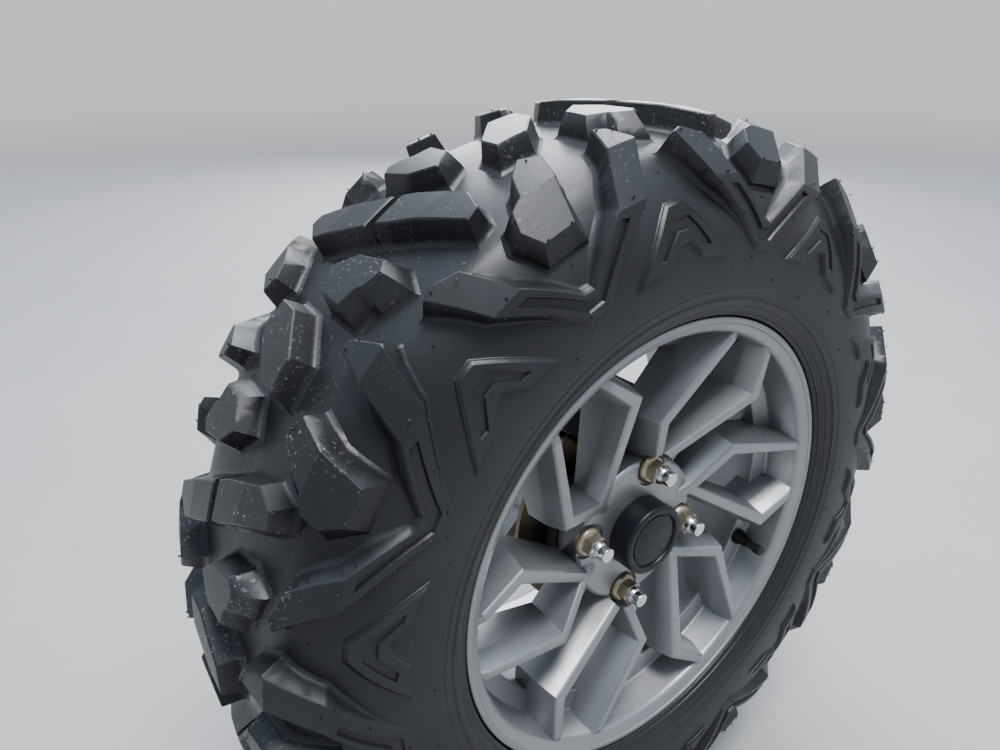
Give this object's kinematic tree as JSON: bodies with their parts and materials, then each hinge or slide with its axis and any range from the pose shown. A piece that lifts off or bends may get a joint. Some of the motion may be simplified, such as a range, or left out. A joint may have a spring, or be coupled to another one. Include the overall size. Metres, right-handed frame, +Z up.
{
  "type": "utility vehicle wheel and hub assembly",
  "caption": "Off-road tyre on a cast alloy wheel with its hub, brake disc, caliper and bearing carrier; the wheel turns on its bearing.",
  "frame": {"origin": "the middle of the bearing carrier's mounting face, by which the vehicle holds the wheel: on the spin axis, 50 mm inboard of the tyre's middle plane", "axes": "+X along the vehicle, +Y inward along the spin axis, with the wheel's outer face towards -Y, +Z up"},
  "size_m": [0.656, 0.22, 0.656],
  "materials": {
    "tyre_rubber": "black-grey satin tyre rubber with light dust",
    "wheel_alloy": "satin silver-grey lacquered cast alloy",
    "cap_plastic": "near-black satin moulded plastic",
    "bright_zinc": "bright zinc plate",
    "hub_steel": "machined and oiled forged steel",
    "disc_steel": "ground steel with a light brown bloom of rust",
    "carrier_alloy": "raw sand-cast alloy",
    "caliper_black": "black anodised caliper, modelled as painted alloy",
    "pad_compound": "dark sintered pad on a steel plate",
    "valve_rubber": "black valve rubber",
    "race_steel": "ground bearing steel"
  },
  "bodies": {
    "carrier": {"bearing_carrier": "carrier_alloy", "wheel_bearing": "race_steel", "bearing_clip": "race_steel", "caliper_body": "caliper_black", "brake_pad_outer": "pad_compound", "brake_pad_inner": "pad_compound", "caliper_bolt_front": "bright_zinc", "caliper_bolt_rear": "bright_zinc", "bleed_screw": "bright_zinc"},
    "wheel": {"tyre": "tyre_rubber", "rim": "wheel_alloy", "wheel_centre": "wheel_alloy", "centre_cap": "cap_plastic", "hub": "hub_steel", "brake_disc": "disc_steel", "stub_axle": "hub_steel", "axle_washer": "bright_zinc", "axle_nut": "bright_zinc", "valve_stem": "valve_rubber", "valve_cap": "cap_plastic", "bearing_inner_race": "race_steel", "lug_nut_1": "bright_zinc", "lug_nut_2": "bright_zinc", "lug_nut_3": "bright_zinc", "lug_nut_4": "bright_zinc", "wheel_stud_1": "bright_zinc", "wheel_stud_2": "bright_zinc", "wheel_stud_3": "bright_zinc", "wheel_stud_4": "bright_zinc", "disc_bolt_1": "bright_zinc", "disc_bolt_2": "bright_zinc", "disc_bolt_3": "bright_zinc", "disc_bolt_4": "bright_zinc"}
  },
  "joints": [
    {"name": "wheel_spin", "type": "hinge", "parent": "carrier", "child": "wheel", "pos_m": [0, -0.05, 0], "axis": [0, 1, 0], "continuous": true}
  ]
}
